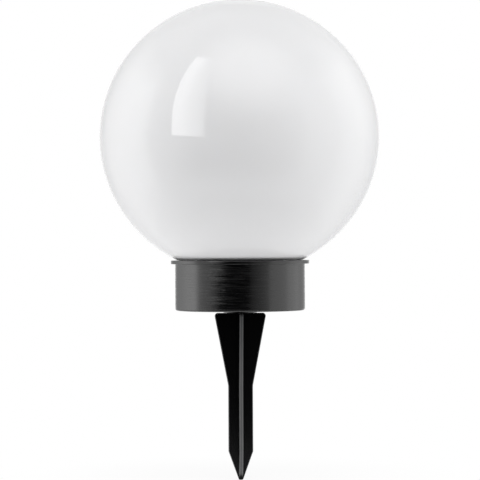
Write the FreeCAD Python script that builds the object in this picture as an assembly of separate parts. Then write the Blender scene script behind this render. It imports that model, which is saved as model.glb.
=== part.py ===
"""Solar garden globe light: an opal ball screwed into a round base on a cross-finned ground stake.

Units are millimetres. +Z is up and the front is -Y. The origin is on the stake's axis at ground level,
which is the plane of the base's underside. The globe's neck has three short helical ribs that pass
under three ribs in the base, so it comes off with a turn to the left. Everything electrical hangs on
one deck inside the base.
"""
import FreeCAD, Part
import math
import os

V = FreeCAD.Vector
UP = V(0, 0, 1)
RIGHT = V(1, 0, 0)
same_place = 0.01            # two measures nearer than this are one

# ---- globe -------------------------------------------------------------------------------------
globe_radius = 100.0
globe_half_height = 98.3
globe_wall = 1.6
shoulder_seat = 1.4          # how far the globe's shoulder reaches out over the rim of the base
shoulder_thickness = 2.0
neck_length = 10.0
neck_wall = 1.6
rim_gap = 0.3                # shoulder to rim

# ---- lug thread between neck and base ----------------------------------------------------------
thread_starts = 3
thread_lead = 20.0           # rise in one turn
thread_span = 50.0           # degrees covered by one rib
thread_depth = 1.8
thread_height = 1.8
thread_gap = 0.4             # radial, rib to the opposite wall
thread_play = 0.3            # axial, rib to rib
thread_root = 0.4            # how far a rib is sunk into its own wall
thread_end = 0.3             # lowest rib end above the foot of the neck

# ---- base housing ------------------------------------------------------------------------------
base_radius = 46.4
base_height = 35.8
base_wall = 2.4
floor_thickness = 2.4
flange_overhang = 3.1
flange_thickness = 2.6
flange_round = 0.5
foot_round = 1.4
foot_recess = 0.8            # hollow in the underside that clears the top of the stake
foot_recess_gap = 2.2        # how far it reaches past the fins
ledge_height = 3.0           # ledge round the deck, under the seal
socket_wall = 2.5
socket_roof = 1.5
socket_tray_gap = 0.6        # socket's roof to the battery tray
collar_drop = 1.6            # socket collar below the base's underside
boss_wall = 1.8

# ---- ground stake ------------------------------------------------------------------------------
fin_top_radius = 18.7
fin_waist_radius = 8.8
fin_tip_radius = 1.4
tip_height = 1.1
waist_drop = 53.9            # levels below the base's underside
point_drop = 100.9
stake_depth = 121.3
fin_root_thickness = 3.1
fin_rim_thickness = 2.5
fin_corner = 2.2
fin_edge_round = 0.55
spigot_radius = 9.3
spigot_gap = 0.25
collar_gap = 0.3             # collar to the fins' tops

# ---- deck --------------------------------------------------------------------------------------
deck_thickness = 2.0
deck_gap = 0.2               # deck rim to the ledge
lip_width = 1.0
lip_height = 2.2
lip_gap = 0.6                # lip to the inside of the neck
seal_thickness = 2.0
seal_gap = 0.15              # above and below the seal
seal_side_gap = 0.3
seal_overlap = 1.2           # seal out over the ledge
side_screw_angle = 17.0      # degrees back from straight left and right
screw_shank_radius = 1.35
screw_head_radius = 2.6
screw_head_height = 1.8
screw_length = 10.0
screw_play = 0.05            # shank in its boss
screw_clearance = 0.35       # shank in the piece that it holds
screw_lip_gap = 1.3          # head to the lip
screw_lid_gap = 1.35         # head to the battery lid
screw_pilot = 1.0            # pilot hole past the screw's point
screw_slot_reach = 1.55      # cross slot out from the middle of the head
screw_slot_width = 0.6
screw_slot_depth = 0.9

# ---- solar panel -------------------------------------------------------------------------------
panel_lip_gap = 3.8          # back corners to the lip
panel_recess = 0.6
panel_gap = 0.2
panel_corner = 1.0
backing_thickness = 1.2
window_thickness = 1.0
cell_count = 4
cell_thickness = 0.25
cell_margin = 1.2
cell_spacing = 0.8

# ---- lamps -------------------------------------------------------------------------------------
led_radius = 2.5
led_height = 8.6
led_rim_radius = 2.9
led_rim_height = 1.0
led_screw_gap = 2.2          # lamp rim to the heads of the side screws
led_panel_gap = 0.6          # lamp rim to the panel
led_inset = 7.0              # front lamps in from the panel's front edge
led_back_inset = 9.0         # back lamps in from its back edge
led_gap = 0.1
lead_width = 0.5
lead_pitch = 2.54
lead_tail = 1.4

# ---- circuit board -----------------------------------------------------------------------------
board_boss_gap = 1.5         # board to the bosses of the side screws
board_tray_gap = 2.0         # board to the battery tray
board_margin = 6.0           # board past the back lamps
board_thickness = 1.6
board_drop = 2.8             # top of the board below the deck
board_post_radius = 2.4
board_post_root = 0.5
board_screw_radius = 0.9
board_screw_head = 1.9
board_screw_head_height = 1.2
board_screw_length = 3.6
board_slot_reach = 1.15
board_slot_width = 0.4
board_slot_depth = 0.6
screw_point_radius = 0.4     # blunt end of either kind of screw
board_fixing_inset = 12.5    # in from the board's sides
board_fixing_front = 5.5     # in from the panel's front edge
board_fixing_back = 8.5      # in from its back edge
part_inset = 8.5             # chip, inductor and capacitor in from the board's sides
chip_size = (4.5, 3.2, 1.5)
chip_step = 8.0              # chip in front of the capacitor
inductor_radius = 3.0
inductor_waist = 2.5
inductor_height = 5.5
inductor_flange = 0.9
inductor_step = 5.0          # in front of the back lamps
capacitor_radius = 2.5
capacitor_height = 5.0
capacitor_round = 0.5
capacitor_step = 6.0         # in front of the back lamps

# ---- battery, its tray and lid -----------------------------------------------------------------
battery_radius = 5.25
battery_length = 44.5
nub_radius = 1.9
nub_length = 0.9
sleeve_thickness = 0.2
sleeve_play = 0.02
sleeve_setback = 0.2         # sleeve short of the battery's ends
battery_cover = 0.9          # top of the battery below the top of the deck
tray_side_gap = 0.4
tray_floor_gap = 0.3
tray_wall = 1.4
contact_thickness = 0.4
contact_half_width = 4.0
contact_lift = 0.2           # contact above the tray's floor
contact_touch = 0.05
tab_rise = 1.2               # solder tabs above the battery's lowest line
tab_half_width = 0.9
tab_gap = 0.25
spring_room = 4.3
spring_radius = 3.2
spring_wire_radius = 0.3
spring_turns = 3
lid_lip_gap = 0.9            # lid's front corners to the deck's lip
lid_overlap = 1.15           # lid past the tray's opening, each side
lid_thickness = 1.4
lid_lift = 0.3               # lid above the deck
lid_rim_gap = 0.6
lid_rim_width = 1.0
lid_rim_depth = 1.6
barrel_radius = 1.3
pivot_radius = 1.0
pivot_length = 1.5
pivot_play = 0.08
ear_thickness = 1.6
ear_radius = 2.2
ear_gap = 0.3
ear_panel_gap = 1.8
grip_length = 14.0
grip_reach = 1.6

# ---- switch ------------------------------------------------------------------------------------
switch_tray_gap = 1.7
switch_travel = 3.0
knob_length = 4.0
knob_width = 2.6
knob_gap = 0.4
knob_stand = 1.8             # knob above the deck
knob_grooves = 3
knob_groove = 0.4
knob_floor_gap = 0.3
foot_flare = 0.8
foot_height = 1.0
foot_gap = 0.6
case_wall = 0.9
case_height = 5.0
case_well = 2.6
terminal_spacing = 6.0
terminal_length = 2.4
terminal_width = 0.8
terminal_thickness = 0.4

# ---- wires -------------------------------------------------------------------------------------
wire_radius = 0.6
wire_bend = 2.4
wire_hole_gap = 0.3
wire_gap = 0.6               # wire to the tray's end
wire_drop = 2.3              # wires under the tray
wire_inset = 3.1             # wires' ends in from the board's front edge
wire_side_inset = 4.0        # and the battery wires' ends in from its sides
wire_past_tray = 1.0
panel_wire_side = 5.0
switch_wire_side = 16.5

# ---- radii and levels that follow --------------------------------------------------------------
bore_radius = base_radius - base_wall
flange_radius = base_radius + flange_overhang
ledge_radius = bore_radius - thread_depth
deck_radius = ledge_radius - deck_gap
neck_radius = ledge_radius - thread_gap
neck_bore = neck_radius - neck_wall
lip_radius = neck_bore - lip_gap
socket_radius = spigot_radius + spigot_gap + socket_wall
boss_radius = screw_shank_radius + boss_wall
lip_bore = lip_radius - lip_width
screw_circle = lip_bore - screw_lip_gap - screw_head_radius
shoulder_radius = bore_radius + shoulder_seat
shoulder_level = base_height + rim_gap
globe_centre = shoulder_level + globe_half_height * math.sqrt(1 - (shoulder_radius / globe_radius) ** 2)
thread_rise = thread_lead * thread_span / 360
neck_bottom = shoulder_level - neck_length
neck_rib_level = neck_bottom + thread_end + (thread_rise + thread_height) / 2
base_rib_level = neck_rib_level + thread_height + thread_play
deck_top = neck_bottom - 2 * seal_gap - seal_thickness
deck_bottom = deck_top - deck_thickness
board_top = deck_bottom - board_drop
board_bottom = board_top - board_thickness
fin_top_drop = collar_drop + collar_gap
panel_low = deck_top - panel_recess
solar_cell_low = panel_low + backing_thickness
led_low = deck_bottom - led_rim_height - led_gap
battery_z = deck_top - battery_cover - battery_radius
tray_floor = battery_z - battery_radius - tray_floor_gap
tab_top = battery_z - battery_radius + tab_rise
socket_top = tray_floor - tray_wall - socket_tray_gap
spigot_top = socket_top - socket_roof - spigot_gap
pivot_z = deck_top + lid_lift + barrel_radius
case_low = deck_bottom - case_height

# ---- plan of the deck, worked out from its front and its sides inwards -------------------------
tray_half_length = (battery_length + spring_room) / 2 + contact_thickness
tray_half_width = battery_radius + tray_side_gap
battery_right = tray_half_length - contact_thickness - contact_touch
battery_left = battery_right - battery_length
tab_reach = tray_half_length + tray_wall + wire_gap + 2 * wire_radius
lid_half_length = tray_half_length + lid_overlap
lid_front = -math.sqrt((lip_bore - lid_lip_gap) ** 2 - lid_half_length ** 2)
battery_y = lid_front + lid_overlap + tray_half_width
tray_front = battery_y - tray_half_width - tray_wall
tray_back = battery_y + tray_half_width + tray_wall
pivot_y = battery_y + tray_half_width + lid_overlap - barrel_radius
case_width = knob_width + 2 * (foot_flare + foot_gap + case_wall)
case_length = knob_length + switch_travel + 2 * (foot_flare + foot_gap + case_wall)
switch_y = tray_front - switch_tray_gap - case_width / 2
front_screw_y = lid_front - screw_lid_gap - screw_head_radius
front_screw_x = math.sqrt(screw_circle ** 2 - front_screw_y ** 2)
side_screw_x = screw_circle * math.cos(math.radians(side_screw_angle))
side_screw_y = screw_circle * math.sin(math.radians(side_screw_angle))
led_side = side_screw_x - screw_head_radius - led_screw_gap - led_rim_radius
panel_width = 2 * (led_side - led_rim_radius - led_panel_gap)
panel_front = pivot_y + ear_radius + ear_panel_gap
panel_back = math.sqrt((lip_bore - panel_lip_gap) ** 2 - (panel_width / 2) ** 2)
panel_depth = panel_back - panel_front
panel_centre_y = (panel_front + panel_back) / 2
led_front_y = panel_front + led_inset
led_back_y = panel_back - led_back_inset
board_half_width = side_screw_x - boss_radius - board_boss_gap
board_front = tray_back + board_tray_gap
board_back = led_back_y + board_margin
part_side = board_half_width - part_inset
inductor_y = led_back_y - inductor_step
capacitor_y = led_back_y - capacitor_step
chip_y = capacitor_y - chip_step
wire_end_y = board_front + wire_inset


# ---- small helpers -----------------------------------------------------------------------------
def cylinder(radius, low, high, x=0.0, y=0.0):
    return Part.makeCylinder(radius, high - low, V(x, y, low), UP)


def rod(radius, left, right, y, z):
    return Part.makeCylinder(radius, right - left, V(left, y, z), RIGHT)


def ring(outer, inner, low, high):
    return cylinder(outer, low, high).cut(cylinder(inner, low, high))


def block(x0, x1, y0, y1, z0, z1):
    return Part.makeBox(x1 - x0, y1 - y0, z1 - z0, V(x0, y0, z0))


def upright(half_x, half_y, low, high, x=0.0, y=0.0):
    """A block centred on x, y."""
    return block(x - half_x, x + half_x, y - half_y, y + half_y, low, high)


def sided(side, inner, outer, y0, y1, z0, z1):
    """A block between two distances from the middle, on the left for side -1 and on the right for side 1."""
    near, far = sorted((side * inner, side * outer))
    return block(near, far, y0, y1, z0, z1)


def screw_places():
    front = [(side * front_screw_x, front_screw_y) for side in (-1, 1)]
    return front + [(side * side_screw_x, side_screw_y) for side in (-1, 1)]


def led_places():
    return [(side * led_side, row) for row in (led_front_y, led_back_y) for side in (-1, 1)]


def board_fixings():
    """Where the board's two screws go, under opposite corners of the panel."""
    side = board_half_width - board_fixing_inset
    return [(side, panel_back - board_fixing_back), (-side, panel_front + board_fixing_front)]


def line(a, b):
    return Part.LineSegment(a, b).toShape()


def lines(points):
    return [line(a, b) for a, b in zip(points, points[1:])]


def revolved(edges):
    return Part.Face(Part.Wire(edges)).revolve(V(0, 0, 0), UP, 360)


def oval_arc(half_width, half_height, low):
    """The right-hand outline of an upright oval about the globe's centre, from low up to its top."""
    centre = V(0, 0, globe_centre)
    side = centre + V(half_width, 0, 0)
    top = centre + V(0, 0, half_height)
    start = math.asin((low - globe_centre) / half_height)
    if half_width >= half_height:
        arc = Part.Arc(Part.Ellipse(side, top, centre), start, math.pi / 2)
    else:
        arc = Part.Arc(Part.Ellipse(top, side, centre), 0, math.pi / 2 - start)
    return arc.toBSpline().toShape()


def oval_radius(half_width, half_height, level):
    return half_width * math.sqrt(1 - ((level - globe_centre) / half_height) ** 2)


def corner_arc(start, corner, end):
    """The arc that is tangent to both legs of a corner, whose legs are equally long."""
    leg = (start - corner).Length
    half_turn = (corner - start).getAngle(end - corner) / 2
    radius = leg / math.tan(half_turn)
    inward = ((start + end) * 0.5 - corner).normalize()
    middle = corner + inward * (radius / math.cos(half_turn) - radius)
    return Part.Arc(start, middle, end).toShape()


def pipe(edges, radius, start, direction):
    section = Part.Wire(Part.makeCircle(radius, start, direction))
    return Part.Wire(edges).makePipeShell([section], True, False)


def wire(points):
    """A wire through points: straight runs joined by tangent arcs."""
    edges = []
    last = points[0]
    for before, corner, after in zip(points, points[1:], points[2:]):
        come = (corner - before).normalize()
        go = (after - corner).normalize()
        leg = wire_bend * math.tan(come.getAngle(go) / 2)
        start = corner - come * leg
        end = corner + go * leg
        edges += [line(last, start), corner_arc(start, corner, end)]
        last = end
    edges.append(line(last, points[-1]))
    return pipe(edges, wire_radius, points[0], points[1] - points[0])


def thread_ribs(inner, outer, level):
    """The short helical ribs of one side of the thread; level is the height of each rib's middle."""
    half = thread_height / 2
    path = Part.makeHelix(thread_lead, thread_rise, (inner + outer) / 2)
    corners = [V(inner, 0, -half), V(outer, 0, -half), V(outer, 0, half), V(inner, 0, half)]
    section = Part.makePolygon(corners + corners[:1])
    rib = Part.Wire(path).makePipeShell([section], True, True)
    rib.translate(V(0, 0, level - thread_rise / 2))
    rib.rotate(V(0, 0, 0), UP, -thread_span / 2)
    ribs = []
    for k in range(thread_starts):
        copy = rib.copy()
        copy.rotate(V(0, 0, 0), UP, k * 360 / thread_starts)
        ribs.append(copy)
    return ribs


def same(a, b):
    return abs(a - b) < same_place


def circles_at(shape, radius, level):
    """The full circles of one radius that lie at one level."""
    found = []
    for edge in shape.Edges:
        curve = edge.Curve
        if isinstance(curve, Part.Circle) and edge.Closed:
            if same(curve.Radius, radius) and same(curve.Center.z, level):
                found.append(edge)
    return found


def export(name, solids):
    shape = solids[0] if len(solids) == 1 else Part.makeCompound(solids)
    shape.exportStep(os.path.join("parts", name + ".step"))
    state = "valid" if shape.isValid() else "NOT VALID"
    print(name, len(shape.Solids), "solid(s)", state, round(shape.Volume, 2))


# ---- stake -------------------------------------------------------------------------------------
def fin_slab():
    """One pair of opposite fins and their half of the spigot as a thick slab, with its shoulders rounded."""
    slope = (fin_waist_radius - fin_tip_radius) / (stake_depth - point_drop)
    tip_start = tip_height - stake_depth
    right = [
        V(spigot_radius, 0, spigot_top),
        V(spigot_radius, 0, -fin_top_drop),
        V(fin_top_radius, 0, -fin_top_drop),
        V(fin_waist_radius, 0, -waist_drop),
        V(fin_waist_radius, 0, -point_drop),
        V(fin_tip_radius + slope * tip_height, 0, tip_start),
    ]
    left = [V(-p.x, 0, p.z) for p in reversed(right)]
    tip = Part.Arc(right[-1], V(0, 0, -stake_depth), left[0]).toShape()
    outline = Part.Wire(lines(right) + [tip] + lines(left) + [line(left[-1], right[0])])
    slab = Part.Face(outline).extrude(V(0, 2 * fin_root_thickness, 0))
    slab.translate(V(0, -fin_root_thickness, 0))
    return slab.makeFillet(fin_corner, [e for e in slab.Edges if is_shoulder(e)])


def is_shoulder(edge):
    """True for an edge across the slab at a fin's top corner."""
    return all(same(abs(v.X), fin_top_radius) and same(v.Z, -fin_top_drop) for v in edge.Vertexes)


def fin_taper():
    """A bar as tall as the stake, thickest on the axis and thinner towards the fins' rims."""
    half_root = fin_root_thickness / 2
    half_rim = fin_rim_thickness / 2
    back = [V(-fin_top_radius, half_rim, 0), V(0, half_root, 0), V(fin_top_radius, half_rim, 0)]
    front = [V(p.x, -p.y, 0) for p in reversed(back)]
    section = Part.Face(Part.makePolygon(back + front + back[:1]))
    bar = section.extrude(V(0, 0, stake_depth + spigot_top))
    bar.translate(V(0, 0, -stake_depth))
    return bar


def is_rim_edge(edge):
    """True for a long edge of a fin's rim below the shoulder, but not along the axis or across the rim."""
    ends = [v.Point for v in edge.Vertexes]
    below = all(p.z < -fin_top_drop - same_place for p in ends)
    across = min(p.y for p in ends) < 0 < max(p.y for p in ends)
    on_axis = all(same(p.x, 0) for p in ends)
    return below and not across and not on_axis


def ground_stake():
    fins = fin_slab().common(fin_taper())
    fins = fins.makeFillet(fin_edge_round, [e for e in fins.Edges if is_rim_edge(e)])
    crossing = fins.copy()
    crossing.rotate(V(0, 0, 0), UP, 90)
    return fins.fuse(crossing).removeSplitter()


# ---- base --------------------------------------------------------------------------------------
def base_cup():
    rim_low = base_height - flange_thickness
    recess_radius = fin_top_radius + foot_recess_gap
    outline = [
        V(0, 0, foot_recess),
        V(recess_radius, 0, foot_recess),
        V(recess_radius, 0, 0),
        V(base_radius, 0, 0),
        V(base_radius, 0, rim_low),
        V(flange_radius, 0, rim_low),
        V(flange_radius, 0, base_height),
        V(bore_radius, 0, base_height),
        V(bore_radius, 0, floor_thickness),
        V(0, 0, floor_thickness),
        V(0, 0, foot_recess),
    ]
    cup = revolved(lines(outline))
    cup = cup.makeFillet(foot_round, circles_at(cup, base_radius, 0))
    rim = circles_at(cup, flange_radius, rim_low) + circles_at(cup, flange_radius, base_height)
    return cup.makeFillet(flange_round, rim)


def spigot_hole():
    """The cross-shaped hole for the stake's spigot, a clearance larger all round."""
    reach = spigot_radius + spigot_gap
    half = fin_root_thickness / 2 + spigot_gap
    low = -collar_drop
    high = spigot_top + spigot_gap
    return upright(reach, half, low, high).fuse(upright(half, reach, low, high))


def base_housing():
    added = [cylinder(socket_radius, -collar_drop, socket_top)]
    added.append(ring(bore_radius + base_wall / 2, ledge_radius, deck_top - ledge_height, deck_top))
    for x, y in screw_places():
        added.append(cylinder(boss_radius, floor_thickness / 2, deck_bottom, x, y))
    added += thread_ribs(ledge_radius, bore_radius + thread_root, base_rib_level)
    holes = [spigot_hole()]
    pilot_low = deck_top - screw_length - screw_pilot
    pilot_radius = screw_shank_radius + screw_play
    for x, y in screw_places():
        holes.append(cylinder(pilot_radius, pilot_low, deck_bottom, x, y))
    return base_cup().fuse(added).cut(holes).removeSplitter()


# ---- deck and what is fixed to it --------------------------------------------------------------
def panel_box(low, high, margin=0.0):
    return upright(panel_width / 2 + margin, panel_depth / 2 + margin, low, high, 0, panel_centre_y)


def battery_tray():
    half = tray_half_length + tray_wall
    return block(-half, half, tray_front, tray_back, tray_floor - tray_wall, deck_top)


def lid_ears():
    inner = lid_half_length + ear_gap
    outer = inner + ear_thickness
    front = pivot_y - ear_radius
    back = pivot_y + ear_radius
    ears = []
    for side in (-1, 1):
        near = min(side * inner, side * outer)
        ears.append(sided(side, inner, outer, front, back, deck_bottom, pivot_z))
        ears.append(rod(ear_radius, near, near + ear_thickness, pivot_y, pivot_z))
    return ears


def deck_plate():
    added = [ring(lip_radius, lip_radius - lip_width, deck_bottom, deck_top + lip_height), battery_tray()]
    added += lid_ears()
    for x, y in board_fixings():
        added.append(cylinder(board_post_radius, board_top, deck_bottom + board_post_root, x, y))
    plate = cylinder(deck_radius, deck_bottom, deck_top).fuse(added)
    return plate.cut(deck_holes() + tray_holes()).removeSplitter()


def deck_holes():
    """The panel's recess and the holes for lamps, screws, panel wires and the switch."""
    holes = [panel_box(panel_low, deck_top, panel_gap)]
    for x, y in led_places():
        holes.append(cylinder(led_radius + led_gap, deck_bottom, deck_top, x, y))
    for x, y in screw_places():
        holes.append(cylinder(screw_shank_radius + screw_clearance, deck_bottom, deck_top, x, y))
    for side in (-1, 1):
        x = side * panel_wire_side
        holes.append(cylinder(wire_radius + wire_hole_gap, deck_bottom, deck_top, x, panel_centre_y))
    for x, y in board_fixings():
        holes.append(cylinder(board_screw_radius + screw_play, board_top, deck_bottom, x, y))
    half_slot = (switch_travel + knob_length) / 2 + knob_gap
    holes.append(upright(half_slot, knob_width / 2 + knob_gap, deck_bottom, deck_top, 0, switch_y))
    return holes


def tray_holes():
    """The tray's hollow, the bores in the lid's ears and the slots for the contacts' solder tabs."""
    holes = [upright(tray_half_length, tray_half_width, tray_floor, pivot_z, 0, battery_y)]
    reach = lid_half_length + ear_gap + ear_thickness
    holes.append(rod(pivot_radius + pivot_play, -reach, reach, pivot_y, pivot_z))
    half = tab_half_width + tab_gap
    low = tab_top - contact_thickness - tab_gap
    for side in (-1, 1):
        holes.append(sided(side, tray_half_length, tray_half_length + tray_wall, battery_y - half,
                           battery_y + half, low, tab_top + tab_gap))
    return holes


def neck_seal():
    low = deck_top + seal_gap
    return ring(ledge_radius + seal_overlap, lip_radius + seal_side_gap, low, low + seal_thickness)


def screw(head_radius, head_height, shank_radius, length, slot, x, y, seat, way):
    """A pan-head screw whose head bears on the level seat; way is -1 for one driven downwards."""
    drive = V(0, 0, way)
    base = V(x, y, seat)
    top = seat - way * head_height
    head = Part.makeCylinder(head_radius, head_height, base, drive * -1)
    head = head.makeFillet(head_height / 2, circles_at(head, head_radius, top))
    straight = length - shank_radius
    shank = Part.makeCylinder(shank_radius, straight, base, drive)
    point = Part.makeCone(shank_radius, screw_point_radius, shank_radius, base + drive * straight, drive)
    return head.fuse([shank, point]).cut(cross_slot(slot, x, y, top, way))


def cross_slot(slot, x, y, top, way):
    """The two crossed slots in a screw's head, whose sizes are their reach, width and depth."""
    reach, width, depth = slot
    low, high = sorted((top, top + way * depth))
    return [
        upright(reach, width / 2, low, high, x, y),
        upright(width / 2, reach, low, high, x, y),
    ]


def deck_screws():
    sizes = (screw_head_radius, screw_head_height, screw_shank_radius, screw_length)
    slot = (screw_slot_reach, screw_slot_width, screw_slot_depth)
    return [screw(*sizes, slot, x, y, deck_top, -1) for x, y in screw_places()]


def board_screws():
    sizes = (board_screw_head, board_screw_head_height, board_screw_radius, board_screw_length)
    slot = (board_slot_reach, board_slot_width, board_slot_depth)
    return [screw(*sizes, slot, x, y, board_bottom, 1) for x, y in board_fixings()]


# ---- solar panel -------------------------------------------------------------------------------
def solar_cells():
    room = panel_depth - 2 * cell_margin
    depth = (room - (cell_count - 1) * cell_spacing) / cell_count
    half = panel_width / 2 - cell_margin
    low = solar_cell_low
    strips = []
    for k in range(cell_count):
        front = panel_front + cell_margin + k * (depth + cell_spacing)
        strips.append(block(-half, half, front, front + depth, low, low + cell_thickness))
    return strips


def solar_window():
    plate = panel_box(solar_cell_low, solar_cell_low + window_thickness)
    corners = [e for e in plate.Edges if abs(e.Vertexes[0].Z - e.Vertexes[1].Z) > window_thickness / 2]
    return plate.makeFillet(panel_corner, corners).cut(solar_cells())


# ---- lamps -------------------------------------------------------------------------------------
def led_lens(x, y):
    dome_centre = led_low + led_height - led_radius
    body = cylinder(led_rim_radius, led_low, led_low + led_rim_height, x, y)
    body = body.fuse(cylinder(led_radius, led_low, dome_centre, x, y))
    return body.fuse(Part.makeSphere(led_radius, V(x, y, dome_centre))).removeSplitter()


def led_leads():
    half = lead_width / 2
    low = board_bottom - lead_tail
    places = [(x + side * lead_pitch / 2, y) for x, y in led_places() for side in (-1, 1)]
    return [upright(half, half, low, led_low, x, y) for x, y in places]


# ---- circuit board -----------------------------------------------------------------------------
def circuit_board():
    """The board, with its lamps' leads soldered in and a clearance hole for each screw."""
    half = board_half_width
    board = block(-half, half, board_front, board_back, board_bottom, board_top)
    hole = board_screw_radius + screw_clearance
    holes = [cylinder(hole, board_bottom, board_top, x, y) for x, y in board_fixings()]
    return board.cut(led_leads() + holes)


def driver_chip():
    length, width, height = chip_size
    return upright(length / 2, width / 2, board_bottom - height, board_bottom, part_side, chip_y)


def inductor():
    """A drum inductor: two end discs with the winding between them."""
    low = board_bottom - inductor_height
    x = -part_side
    winding = cylinder(inductor_waist, low, board_bottom, x, inductor_y)
    lower = cylinder(inductor_radius, low, low + inductor_flange, x, inductor_y)
    upper = cylinder(inductor_radius, board_bottom - inductor_flange, board_bottom, x, inductor_y)
    return winding.fuse([lower, upper]).removeSplitter()


def capacitor():
    low = board_bottom - capacitor_height
    can = cylinder(capacitor_radius, low, board_bottom, part_side, capacitor_y)
    return can.makeFillet(capacitor_round, circles_at(can, capacitor_radius, low))


# ---- battery -----------------------------------------------------------------------------------
def battery_can():
    radius = battery_radius - sleeve_thickness - sleeve_play
    can = rod(radius, battery_left, battery_right - nub_length, battery_y, battery_z)
    nub = rod(nub_radius, battery_right - nub_length, battery_right, battery_y, battery_z)
    return can.fuse(nub).removeSplitter()


def battery_sleeve():
    left = battery_left + sleeve_setback
    right = battery_right - nub_length - sleeve_setback
    outside = rod(battery_radius, left, right, battery_y, battery_z)
    return outside.cut(rod(battery_radius - sleeve_thickness, left, right, battery_y, battery_z))


def battery_contact(side):
    """A contact plate against the tray's end wall, with a solder tab out through the wall."""
    inner = tray_half_length - contact_thickness
    front = battery_y - contact_half_width
    back = battery_y + contact_half_width
    low = tray_floor + contact_lift
    plate = sided(side, inner, tray_half_length, front, back, low, battery_z + contact_half_width)
    front = battery_y - tab_half_width
    back = battery_y + tab_half_width
    tab = sided(side, inner, tab_reach, front, back, tab_top - contact_thickness, tab_top)
    return plate.fuse(tab).removeSplitter()


def spring_point(turns):
    """A point on the spring's centre line after so many turns, and its direction there."""
    start = contact_touch + spring_wire_radius - tray_half_length + contact_thickness
    end = battery_left - contact_touch - spring_wire_radius
    pitch = (end - start) / spring_turns
    angle = 2 * math.pi * turns
    axis_point = V(start + pitch * turns, battery_y, battery_z)
    place = axis_point + V(0, math.cos(angle), math.sin(angle)) * spring_radius
    way = V(pitch / (2 * math.pi * spring_radius), -math.sin(angle), math.cos(angle))
    return place, way.normalize()


def spring_quarter(quarter):
    """Two arcs that meet tangentially and carry the spring's centre line through one quarter of a turn."""
    start, start_way = spring_point(quarter / 4)
    end, end_way = spring_point((quarter + 1) / 4)
    gap = end - start
    both = start_way + end_way
    square = 4 - both.dot(both)
    leg = (math.sqrt(gap.dot(both) ** 2 + square * gap.dot(gap)) - gap.dot(both)) / square
    first = start + start_way * leg
    second = end - end_way * leg
    meeting = (first + second) * 0.5
    return [corner_arc(start, first, meeting), corner_arc(meeting, second, end)]


def battery_spring():
    """The coil that presses the battery against the far contact."""
    start, way = spring_point(0)
    edges = [edge for quarter in range(4 * spring_turns) for edge in spring_quarter(quarter)]
    next_turn, _ = spring_point(1)
    print("battery_spring gap between turns", round((next_turn - start).Length - 2 * spring_wire_radius, 2))
    return pipe(edges, spring_wire_radius, start, way)


def battery_lid():
    """A flat lid with a locating rim below, a finger grip in front and a pivot at each end."""
    low = deck_top + lid_lift
    high = low + lid_thickness
    plate = block(-lid_half_length, lid_half_length, lid_front, pivot_y, low, high)
    barrel = rod(barrel_radius, -lid_half_length, lid_half_length, pivot_y, pivot_z)
    reach = lid_half_length + ear_gap + pivot_length
    pins = rod(pivot_radius, -reach, reach, pivot_y, pivot_z)
    grip = block(-grip_length / 2, grip_length / 2, lid_front - grip_reach, lid_front, low, high)
    solid = plate.fuse([barrel, pins, grip, lid_rim(low)])
    clear = battery_radius + tray_floor_gap
    over_battery = rod(clear, -lid_half_length, lid_half_length, battery_y, battery_z)
    return solid.cut(over_battery).removeSplitter()


def lid_rim(top):
    half_x = tray_half_length - lid_rim_gap
    half_y = tray_half_width - lid_rim_gap
    low = top - lid_rim_depth
    inside = upright(half_x - lid_rim_width, half_y - lid_rim_width, low, top, 0, battery_y)
    return upright(half_x, half_y, low, top, 0, battery_y).cut(inside)


# ---- switch ------------------------------------------------------------------------------------
def switch_case():
    half_x = case_length / 2
    half_y = case_width / 2
    well_floor = deck_bottom - case_well
    case = upright(half_x, half_y, case_low, deck_bottom, 0, switch_y)
    well = upright(half_x - case_wall, half_y - case_wall, well_floor, deck_bottom, 0, switch_y)
    return case.cut(well).fuse([switch_terminal(-1), switch_terminal(1)])


def switch_terminal(side):
    x = side * terminal_spacing / 2
    low = case_low - terminal_length
    return upright(terminal_width / 2, terminal_thickness / 2, low, case_low, x, switch_y)


def switch_knob():
    """The slider at its left, off place: a foot in the case, a stem in the slot and a grooved top."""
    middle = -switch_travel / 2
    half_x = knob_length / 2
    half_y = knob_width / 2
    low = deck_bottom - case_well + knob_floor_gap
    top = deck_top + knob_stand
    stem = upright(half_x, half_y, low, top, middle, switch_y)
    foot_top = low + foot_height
    foot = upright(half_x + foot_flare, half_y + foot_flare, low, foot_top, middle, switch_y)
    pitch = knob_length / (knob_grooves + 1)
    places = [middle - half_x + pitch * (k + 1) for k in range(knob_grooves)]
    floor = top - knob_groove
    grooves = [upright(knob_groove / 2, half_y, floor, top, x, switch_y) for x in places]
    return stem.fuse(foot).cut(grooves).removeSplitter()


# ---- wires -------------------------------------------------------------------------------------
def panel_wire(side):
    return cylinder(wire_radius, board_top, panel_low, side * panel_wire_side, panel_centre_y)


def battery_wire(side):
    """From the top of a contact's solder tab past the tray's end and up to the circuit board."""
    near = side * (tab_reach - wire_radius)
    far = side * (board_half_width - wire_side_inset)
    level = tab_top + wire_radius
    return wire([
        V(near, battery_y, level),
        V(near, tray_back + wire_past_tray, level),
        V(far, wire_end_y, level),
        V(far, wire_end_y, board_bottom),
    ])


def switch_wire(side):
    """From a switch terminal down, under the battery tray and up to the circuit board."""
    near = side * terminal_spacing / 2
    far = side * switch_wire_side
    level = tray_floor - tray_wall - wire_drop - wire_radius
    return wire([
        V(near, switch_y, case_low - terminal_length),
        V(near, switch_y, level),
        V(far, battery_y + tray_half_width, level),
        V(far, wire_end_y, level),
        V(far, wire_end_y, board_bottom),
    ])


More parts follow.
